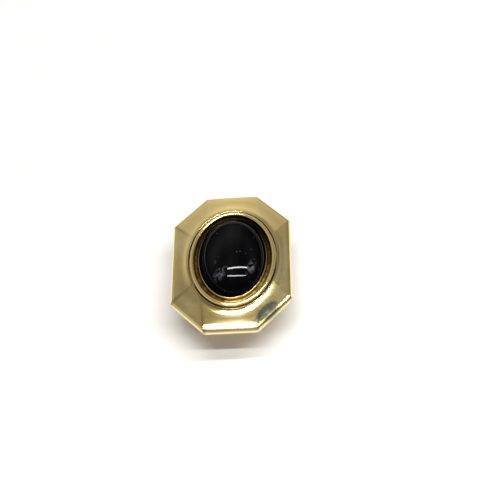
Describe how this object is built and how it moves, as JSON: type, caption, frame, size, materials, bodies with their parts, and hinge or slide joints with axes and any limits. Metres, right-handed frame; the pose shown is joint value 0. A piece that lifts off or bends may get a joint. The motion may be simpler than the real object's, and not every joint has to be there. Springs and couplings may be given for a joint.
{
  "type": "tie tack",
  "caption": "Octagonal gold-tone tie tack with a domed oval black stone in a beaded bezel, a sharp post and a spring-loaded ball-lock clutch.",
  "frame": {"origin": "on the post's axis, in the plane of the pin's back, where the cloth lies", "axes": "+Z out of the stone's face, +Y to the top of the pin as worn, +X to the right seen from the front"},
  "size_m": [0.032, 0.043, 0.0191],
  "materials": {
    "polished_gold": "polished gold plate with light wear",
    "dark_gold": "tarnished, lightly textured",
    "back_gold": "satin gold wash",
    "clutch_gold": "polished gold plate",
    "onyx": "high gloss polished",
    "card": "matte",
    "steel": "bright"
  },
  "bodies": {
    "head": {"octagon_frame": "polished_gold", "back_plate": "back_gold", "bead_ring": "polished_gold", "gallery_ring": "dark_gold", "stone_bezel": "polished_gold", "stone_seat": "dark_gold", "stone_cushion": "card", "onyx_cabochon": "onyx", "post_pad": "back_gold", "tack_post": "back_gold"},
    "plunger": {"ball_cage": "dark_gold", "pull_knob": "clutch_gold", "return_spring": "steel"},
    "washer": {"spring_washer": "steel"},
    "housing": {"clutch_base": "clutch_gold", "clutch_shell": "clutch_gold", "lock_cone": "steel"},
    "ball_1": {"lock_ball_1": "steel"},
    "ball_2": {"lock_ball_2": "steel"},
    "ball_3": {"lock_ball_3": "steel"}
  },
  "joints": [
    {"name": "clutch_slide", "type": "slide", "parent": "head", "child": "plunger", "axis": [0, 0, -1], "range_m": [-0.0015, 0.0135]},
    {"name": "release_pull", "type": "slide", "parent": "plunger", "child": "washer", "axis": [0, 0, 1], "range_m": [0, 0.001], "stiffness_N_per_m": 400, "springref_m": -0.001, "deforming": ["return_spring"]},
    {"name": "housing_spin", "type": "hinge", "parent": "washer", "child": "housing", "pos_m": [0, 0, 0], "axis": [0, 0, 1], "continuous": true},
    {"name": "ball_1_radial", "type": "slide", "parent": "plunger", "child": "ball_1", "axis": [0, 1, 0], "range_m": [0, 0.00033]},
    {"name": "ball_2_radial", "type": "slide", "parent": "plunger", "child": "ball_2", "axis": [-0.866, -0.5, 0], "range_m": [0, 0.00033]},
    {"name": "ball_3_radial", "type": "slide", "parent": "plunger", "child": "ball_3", "axis": [0.866, -0.5, 0], "range_m": [0, 0.00033]}
  ],
  "couplings": [
    {"joint": "ball_1_radial", "follows": "release_pull", "ratio": 0.32492},
    {"joint": "ball_2_radial", "follows": "release_pull", "ratio": 0.32492},
    {"joint": "ball_3_radial", "follows": "release_pull", "ratio": 0.32492}
  ]
}
